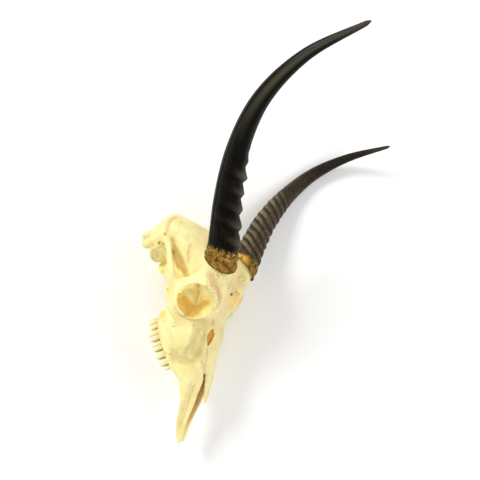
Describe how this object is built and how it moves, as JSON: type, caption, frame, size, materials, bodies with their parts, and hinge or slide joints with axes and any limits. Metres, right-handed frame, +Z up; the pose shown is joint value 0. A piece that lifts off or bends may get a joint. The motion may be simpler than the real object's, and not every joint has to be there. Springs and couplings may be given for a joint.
{
  "type": "reedbuck skull with horns",
  "caption": "Antelope skull of a male reedbuck, lying on its left side, with forward-hooked ridged horns, oval eye sockets, a slender open nose and cheek teeth; the lower jaw is absent.",
  "frame": {"origin": "middle of the outline on the surface that the skull lies on", "axes": "+X runs from the tooth rows and cheeks toward the horn tips, -Y is the way the nose points, +Z is up, and the animal's right side faces up"},
  "size_m": [0.3894, 0.3322, 0.2904],
  "materials": {
    "bone": "satin",
    "horn": "satin",
    "tooth": "satin"
  },
  "bodies": {
    "root": {"skull": "bone", "horn_right": "horn", "horn_left": "horn", "molar_3_right": "tooth", "molar_2_right": "tooth", "molar_1_right": "tooth", "premolar_4_right": "tooth", "premolar_3_right": "tooth", "premolar_2_right": "tooth", "molar_3_left": "tooth", "molar_2_left": "tooth", "molar_1_left": "tooth", "premolar_4_left": "tooth", "premolar_3_left": "tooth", "premolar_2_left": "tooth"}
  },
  "joints": []
}
